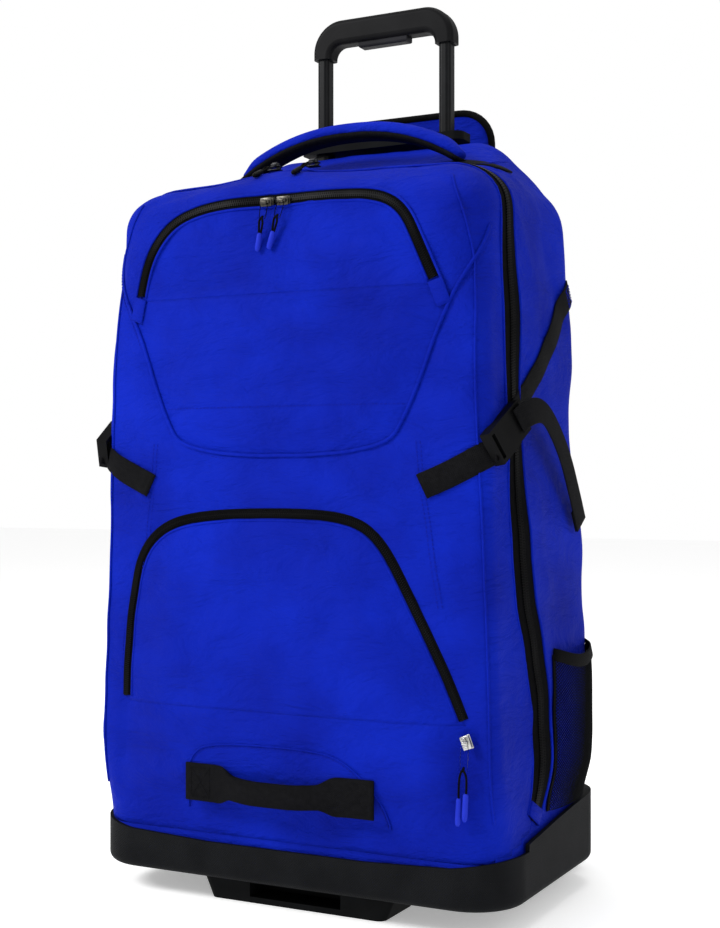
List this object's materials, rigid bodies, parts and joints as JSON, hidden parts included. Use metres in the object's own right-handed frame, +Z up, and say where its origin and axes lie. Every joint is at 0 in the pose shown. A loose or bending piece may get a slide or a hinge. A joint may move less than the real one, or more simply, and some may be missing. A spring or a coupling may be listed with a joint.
{
  "type": "hockey equipment bag",
  "caption": "Tall wheeled equipment bag that also carries as a backpack, with a zip-open front, outer pockets, compression straps and a pull-out trolley handle.",
  "frame": {"origin": "on the ground, under the middle of the bag's overall box", "axes": "+Z up, -Y out of the front pockets, +X to the right seen from the front"},
  "size_m": [0.5, 0.3654, 0.949],
  "materials": {
    "fabric_blue": "royal blue coated polyester weave",
    "fabric_black": "black padded fabric",
    "lining": "dark lining cloth",
    "zip_tape": "black zip tape and coil",
    "webbing": "black woven webbing",
    "mesh": "black open mesh",
    "moulded_black": "textured moulded plastic",
    "wheel_plastic": "satin",
    "button_plastic": "satin",
    "buckle_plastic": "moulded acetal",
    "sheet_plastic": "extruded sheet",
    "tube_metal": "black anodised",
    "steel": "turned",
    "tyre": "moulded urethane tread",
    "zip_metal": "dark plated zinc"
  },
  "bodies": {
    "bag": {"axle_left": "steel", "axle_right": "steel", "back_panel": "fabric_black", "base_tray": "moulded_black", "bottom_bracket": "moulded_black", "frame_sheet": "sheet_plastic", "front_foot": "moulded_black", "harness_flap": "fabric_blue", "main_zip_tape_bag": "zip_tape", "mesh_pocket_left": "mesh", "mesh_pocket_right": "mesh", "rear_shell": "fabric_blue", "shoulder_strap_left": "fabric_black", "shoulder_strap_right": "fabric_black", "socket_tube_left": "tube_metal", "socket_tube_right": "tube_metal", "strap_rear_left": "webbing", "strap_rear_right": "webbing", "top_collar": "moulded_black", "top_handle": "fabric_blue", "wheel_housing_left": "moulded_black", "wheel_housing_right": "moulded_black"},
    "wheel_left": {"hub_left": "wheel_plastic", "tyre_left": "tyre"},
    "wheel_right": {"hub_right": "wheel_plastic", "tyre_right": "tyre"},
    "front_panel": {"front_panel_shell": "fabric_blue", "main_zip_tape_panel": "zip_tape", "lower_handle": "webbing", "upper_pocket_pouch": "lining", "lower_pocket_pouch": "lining", "upper_zip_tape_panel": "zip_tape", "lower_zip_tape_panel": "zip_tape", "strap_front_left": "webbing", "strap_front_right": "webbing", "buckle_female_left": "buckle_plastic", "buckle_female_right": "buckle_plastic"},
    "upper_flap": {"upper_pocket_flap": "fabric_blue", "upper_zip_tape_flap": "zip_tape"},
    "lower_flap": {"lower_pocket_flap": "fabric_blue", "lower_zip_tape_flap": "zip_tape"},
    "buckle_left": {"buckle_male_left": "buckle_plastic", "strap_tail_left": "webbing"},
    "buckle_right": {"buckle_male_right": "buckle_plastic", "strap_tail_right": "webbing"},
    "trolley": {"trolley_tube_left": "tube_metal", "trolley_tube_right": "tube_metal", "trolley_grip": "moulded_black"},
    "button": {"release_button": "button_plastic"},
    "slider_upper_left": {"slider_upper_left": "zip_metal"},
    "pull_upper_left": {"pull_upper_left": "zip_metal"},
    "slider_upper_right": {"slider_upper_right": "zip_metal"},
    "pull_upper_right": {"pull_upper_right": "zip_metal"},
    "slider_lower": {"slider_lower": "zip_metal"},
    "pull_lower": {"pull_lower": "zip_metal"},
    "slider_main_left": {"slider_main_left": "zip_metal"},
    "pull_main_left": {"pull_main_left": "zip_metal"},
    "slider_main_right": {"slider_main_right": "zip_metal"},
    "pull_main_right": {"pull_main_right": "zip_metal"}
  },
  "joints": [
    {"name": "front_panel_open", "type": "hinge", "parent": "bag", "child": "front_panel", "pos_m": [0, -0.152, 0.07], "axis": [1, 0, 0], "range_deg": [0, 90]},
    {"name": "upper_flap_open", "type": "hinge", "parent": "front_panel", "child": "upper_flap", "pos_m": [0, -0.152, 0.6124], "axis": [1, 0, 0], "range_deg": [0, 75]},
    {"name": "lower_flap_open", "type": "hinge", "parent": "front_panel", "child": "lower_flap", "pos_m": [0, -0.152, 0.2], "axis": [1, 0, 0], "range_deg": [0, 70]},
    {"name": "trolley_slide", "type": "slide", "parent": "bag", "child": "trolley", "axis": [0, 0, 1], "range_m": [-0.099, 0.11]},
    {"name": "release_button_press", "type": "slide", "parent": "trolley", "child": "button", "axis": [0, 0, 1], "range_m": [0, 0.004], "stiffness_N_per_m": 500},
    {"name": "wheel_left_spin", "type": "hinge", "parent": "bag", "child": "wheel_left", "pos_m": [-0.185, 0.146, 0.04], "axis": [1, 0, 0], "continuous": true},
    {"name": "wheel_right_spin", "type": "hinge", "parent": "bag", "child": "wheel_right", "pos_m": [0.185, 0.146, 0.04], "axis": [1, 0, 0], "continuous": true},
    {"name": "buckle_right_release", "type": "slide", "parent": "front_panel", "child": "buckle_right", "axis": [0.12, 0.8299, 0.5449], "range_m": [0, 0.03]},
    {"name": "buckle_left_release", "type": "slide", "parent": "front_panel", "child": "buckle_left", "axis": [-0.12, 0.8299, 0.5449], "range_m": [0, 0.03]},
    {"name": "slider_upper_left_run", "type": "slide", "parent": "upper_flap", "child": "slider_upper_left", "axis": [1, 0, 0], "range_m": [-0.085, 0]},
    {"name": "slider_upper_right_run", "type": "slide", "parent": "upper_flap", "child": "slider_upper_right", "axis": [1, 0, 0], "range_m": [0, 0.1]},
    {"name": "slider_lower_run", "type": "slide", "parent": "front_panel", "child": "slider_lower", "axis": [-0.3654, 0, 0.9309], "range_m": [0, 0.085]},
    {"name": "slider_main_left_run", "type": "slide", "parent": "front_panel", "child": "slider_main_left", "axis": [1, 0, 0], "range_m": [-0.1, 0]},
    {"name": "slider_main_right_run", "type": "slide", "parent": "front_panel", "child": "slider_main_right", "axis": [1, 0, 0], "range_m": [0, 0.145]},
    {"name": "pull_upper_left_swing", "type": "hinge", "parent": "slider_upper_left", "child": "pull_upper_left", "pos_m": [-0.017, -0.1614, 0.7034], "axis": [-1, 0, 0], "range_deg": [0, 150]},
    {"name": "pull_upper_right_swing", "type": "hinge", "parent": "slider_upper_right", "child": "pull_upper_right", "pos_m": [0.002, -0.1614, 0.7034], "axis": [-1, 0, 0], "range_deg": [0, 150]},
    {"name": "pull_lower_swing", "type": "hinge", "parent": "slider_lower", "child": "pull_lower", "pos_m": [0.1975, -0.1614, 0.186], "axis": [-1, 0, 0], "range_deg": [0, 150]},
    {"name": "pull_main_left_swing", "type": "hinge", "parent": "slider_main_left", "child": "pull_main_left", "pos_m": [-0.045, -0.093, 0.7553], "axis": [-1, 0, 0], "range_deg": [0, 165]},
    {"name": "pull_main_right_swing", "type": "hinge", "parent": "slider_main_right", "child": "pull_main_right", "pos_m": [0, -0.093, 0.7553], "axis": [-1, 0, 0], "range_deg": [0, 165]}
  ]
}
